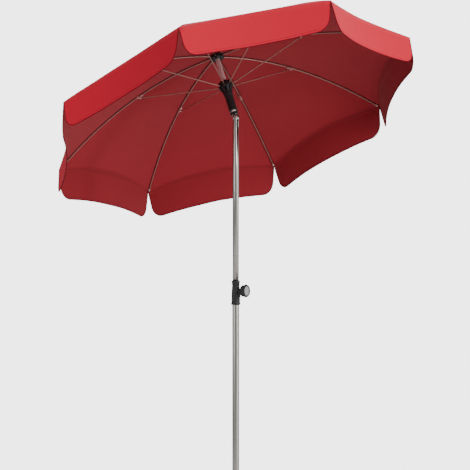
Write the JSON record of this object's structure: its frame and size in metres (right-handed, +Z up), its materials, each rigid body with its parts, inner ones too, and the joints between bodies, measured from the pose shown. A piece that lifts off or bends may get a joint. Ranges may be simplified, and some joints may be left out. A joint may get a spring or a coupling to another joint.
{
  "type": "patio umbrella with base",
  "caption": "Tilting garden parasol: folding ribbed cloth canopy on a height-adjustable two-part pole with a clamp knob, standing in a round weighted base.",
  "frame": {"origin": "centre of the base's underside on the floor, on the pole's axis", "axes": "+Z up along the pole; the tilted mast leans towards +Y; the clamp knob faces -Y and a little +X"},
  "size_m": [1.5138, 1.3679, 2.1526],
  "materials": {
    "cloth": "plain-woven coated polyester",
    "pole_steel": "satin drawn tube",
    "joint_steel": "bright plated",
    "rib_steel": "drawn steel",
    "tip_plastic": "moulded",
    "black_plastic": "moulded, fine texture",
    "grey_plastic": "moulded, textured",
    "granite": "honed granite",
    "rubber": "moulded"
  },
  "bodies": {
    "base": {"base_slab": "granite", "base_pad": "rubber", "base_socket": "pole_steel", "base_bolt_1": "joint_steel", "base_bolt_2": "joint_steel", "base_bolt_3": "joint_steel"},
    "liner": {"base_liner": "black_plastic"},
    "base_clamp": {"base_screw": "joint_steel", "base_knob": "black_plastic"},
    "lower_mast": {"pole_plug": "black_plastic", "lower_pole": "pole_steel", "clamp_collar": "black_plastic"},
    "height_clamp": {"clamp_screw": "joint_steel", "clamp_knob": "black_plastic", "clamp_knob_cap": "grey_plastic"},
    "upper_mast": {"upper_pole": "pole_steel", "pole_guide": "black_plastic", "tilt_insert": "black_plastic", "tilt_spring": "joint_steel"},
    "tilt_release": {"tilt_button": "grey_plastic"},
    "tilt_joint": {"tilt_pin": "joint_steel"},
    "head": {"tilt_tongue": "joint_steel", "mast_tube": "rib_steel", "crown_hub": "black_plastic", "crown_ring": "joint_steel", "crown_cap": "black_plastic"},
    "runner": {"runner": "black_plastic", "runner_ring": "joint_steel"},
    "rib_1": {"rib_1": "rib_steel", "rib_tip_1": "tip_plastic", "canopy_panel_1": "cloth"},
    "stretcher_1": {"stretcher_1": "rib_steel"},
    "rib_2": {"rib_2": "rib_steel", "rib_tip_2": "tip_plastic", "canopy_panel_2": "cloth"},
    "stretcher_2": {"stretcher_2": "rib_steel"},
    "rib_3": {"rib_3": "rib_steel", "rib_tip_3": "tip_plastic", "canopy_panel_3": "cloth"},
    "stretcher_3": {"stretcher_3": "rib_steel"},
    "rib_4": {"rib_4": "rib_steel", "rib_tip_4": "tip_plastic", "canopy_panel_4": "cloth"},
    "stretcher_4": {"stretcher_4": "rib_steel"},
    "rib_5": {"rib_5": "rib_steel", "rib_tip_5": "tip_plastic", "canopy_panel_5": "cloth"},
    "stretcher_5": {"stretcher_5": "rib_steel"},
    "rib_6": {"rib_6": "rib_steel", "rib_tip_6": "tip_plastic", "canopy_panel_6": "cloth"},
    "stretcher_6": {"stretcher_6": "rib_steel"},
    "rib_7": {"rib_7": "rib_steel", "rib_tip_7": "tip_plastic", "canopy_panel_7": "cloth"},
    "stretcher_7": {"stretcher_7": "rib_steel"},
    "rib_8": {"rib_8": "rib_steel", "rib_tip_8": "tip_plastic", "canopy_panel_8": "cloth"},
    "stretcher_8": {"stretcher_8": "rib_steel"}
  },
  "joints": [
    {"name": "pole_turn", "type": "hinge", "parent": "base", "child": "liner", "pos_m": [0, 0, 0.3], "axis": [0, 0, 1], "continuous": true},
    {"name": "pole_lift_out", "type": "slide", "parent": "liner", "child": "lower_mast", "axis": [0, 0, 1], "range_m": [0, 0.3]},
    {"name": "height", "type": "slide", "parent": "lower_mast", "child": "upper_mast", "axis": [0, 0, 1], "range_m": [-0.55, 0.08]},
    {"name": "height_clamp_turn", "type": "hinge", "parent": "lower_mast", "child": "height_clamp", "pos_m": [0.01414, -0.03742, 1.058], "axis": [0.3535, -0.9354, 0], "range_deg": [-540, 0]},
    {"name": "base_clamp_turn", "type": "hinge", "parent": "base", "child": "base_clamp", "pos_m": [0, -0.03, 0.27], "axis": [0, -1, 0], "range_deg": [-540, 0]},
    {"name": "tilt_release_press", "type": "slide", "parent": "upper_mast", "child": "tilt_release", "axis": [0, -1, 0], "range_m": [0, 0.0025], "stiffness_N_per_m": 400, "springref_m": -0.001, "deforming": ["tilt_spring"]},
    {"name": "canopy_fold", "type": "hinge", "parent": "upper_mast", "child": "tilt_joint", "pos_m": [0, 0, 1.748], "axis": [1, 0, 0], "range_deg": [0, 26.5]},
    {"name": "tilt", "type": "hinge", "parent": "tilt_joint", "child": "head", "pos_m": [0, 0, 1.748], "axis": [-1, 0, 0], "range_deg": [-26.5, 0]},
    {"name": "runner_slide", "type": "slide", "parent": "head", "child": "runner", "axis": [0, -0.4462, -0.8949], "range_m": [0, 0.009]},
    {"name": "rib_fold_1", "type": "hinge", "parent": "head", "child": "rib_1", "pos_m": [0.00158, 0.14635, 1.99461], "axis": [-0.9972, 0.0671, -0.0335], "range_deg": [0, 70.5], "deforming": ["canopy_panel_1"]},
    {"name": "stretcher_fold_1", "type": "hinge", "parent": "runner", "child": "stretcher_1", "pos_m": [0.00158, 0.08433, 1.87021], "axis": [-0.9972, 0.0671, -0.0335], "range_deg": [0, 94]},
    {"name": "rib_fold_2", "type": "hinge", "parent": "head", "child": "rib_2", "pos_m": [-0.01369, 0.14186, 1.99685], "axis": [-0.7581, -0.5836, 0.291], "range_deg": [0, 70.5], "deforming": ["canopy_panel_2"]},
    {"name": "stretcher_fold_2", "type": "hinge", "parent": "runner", "child": "stretcher_2", "pos_m": [-0.01369, 0.07984, 1.87245], "axis": [-0.7581, -0.5836, 0.291], "range_deg": [0, 94]},
    {"name": "rib_fold_3", "type": "hinge", "parent": "head", "child": "rib_3", "pos_m": [-0.02094, 0.12902, 2.00325], "axis": [-0.075, -0.8924, 0.4449], "range_deg": [0, 70.5], "deforming": ["canopy_panel_3"]},
    {"name": "stretcher_fold_3", "type": "hinge", "parent": "runner", "child": "stretcher_3", "pos_m": [-0.02094, 0.067, 1.87885], "axis": [-0.075, -0.8924, 0.4449], "range_deg": [0, 94]},
    {"name": "rib_fold_4", "type": "hinge", "parent": "head", "child": "rib_4", "pos_m": [-0.01592, 0.11536, 2.01006], "axis": [0.6521, -0.6785, 0.3383], "range_deg": [0, 70.5], "deforming": ["canopy_panel_4"]},
    {"name": "stretcher_fold_4", "type": "hinge", "parent": "runner", "child": "stretcher_4", "pos_m": [-0.01592, 0.05334, 1.88567], "axis": [0.6521, -0.6785, 0.3383], "range_deg": [0, 94]},
    {"name": "rib_fold_5", "type": "hinge", "parent": "head", "child": "rib_5", "pos_m": [-0.00158, 0.10887, 2.01329], "axis": [0.9972, -0.0671, 0.0335], "range_deg": [0, 70.5], "deforming": ["canopy_panel_5"]},
    {"name": "stretcher_fold_5", "type": "hinge", "parent": "runner", "child": "stretcher_5", "pos_m": [-0.00158, 0.04685, 1.8889], "axis": [0.9972, -0.0671, 0.0335], "range_deg": [0, 94]},
    {"name": "rib_fold_6", "type": "hinge", "parent": "head", "child": "rib_6", "pos_m": [0.01369, 0.11336, 2.01105], "axis": [0.7581, 0.5836, -0.291], "range_deg": [0, 70.5], "deforming": ["canopy_panel_6"]},
    {"name": "stretcher_fold_6", "type": "hinge", "parent": "runner", "child": "stretcher_6", "pos_m": [0.01369, 0.05134, 1.88666], "axis": [0.7581, 0.5836, -0.291], "range_deg": [0, 94]},
    {"name": "rib_fold_7", "type": "hinge", "parent": "head", "child": "rib_7", "pos_m": [0.02094, 0.1262, 2.00465], "axis": [0.075, 0.8924, -0.4449], "range_deg": [0, 70.5], "deforming": ["canopy_panel_7"]},
    {"name": "stretcher_fold_7", "type": "hinge", "parent": "runner", "child": "stretcher_7", "pos_m": [0.02094, 0.06418, 1.88026], "axis": [0.075, 0.8924, -0.4449], "range_deg": [0, 94]},
    {"name": "rib_fold_8", "type": "hinge", "parent": "head", "child": "rib_8", "pos_m": [0.01592, 0.13987, 1.99784], "axis": [-0.6521, 0.6785, -0.3383], "range_deg": [0, 70.5], "deforming": ["canopy_panel_8"]},
    {"name": "stretcher_fold_8", "type": "hinge", "parent": "runner", "child": "stretcher_8", "pos_m": [0.01592, 0.07785, 1.87345], "axis": [-0.6521, 0.6785, -0.3383], "range_deg": [0, 94]}
  ],
  "couplings": [
    {"joint": "runner_slide", "follows": "canopy_fold", "m_per_rad": 0.017297},
    {"joint": "rib_fold_1", "follows": "canopy_fold", "ratio": 2.6415},
    {"joint": "stretcher_fold_1", "follows": "canopy_fold", "ratio": 3.522},
    {"joint": "rib_fold_2", "follows": "canopy_fold", "ratio": 2.6415},
    {"joint": "stretcher_fold_2", "follows": "canopy_fold", "ratio": 3.522},
    {"joint": "rib_fold_3", "follows": "canopy_fold", "ratio": 2.6415},
    {"joint": "stretcher_fold_3", "follows": "canopy_fold", "ratio": 3.522},
    {"joint": "rib_fold_4", "follows": "canopy_fold", "ratio": 2.6415},
    {"joint": "stretcher_fold_4", "follows": "canopy_fold", "ratio": 3.522},
    {"joint": "rib_fold_5", "follows": "canopy_fold", "ratio": 2.6415},
    {"joint": "stretcher_fold_5", "follows": "canopy_fold", "ratio": 3.522},
    {"joint": "rib_fold_6", "follows": "canopy_fold", "ratio": 2.6415},
    {"joint": "stretcher_fold_6", "follows": "canopy_fold", "ratio": 3.522},
    {"joint": "rib_fold_7", "follows": "canopy_fold", "ratio": 2.6415},
    {"joint": "stretcher_fold_7", "follows": "canopy_fold", "ratio": 3.522},
    {"joint": "rib_fold_8", "follows": "canopy_fold", "ratio": 2.6415},
    {"joint": "stretcher_fold_8", "follows": "canopy_fold", "ratio": 3.522}
  ]
}
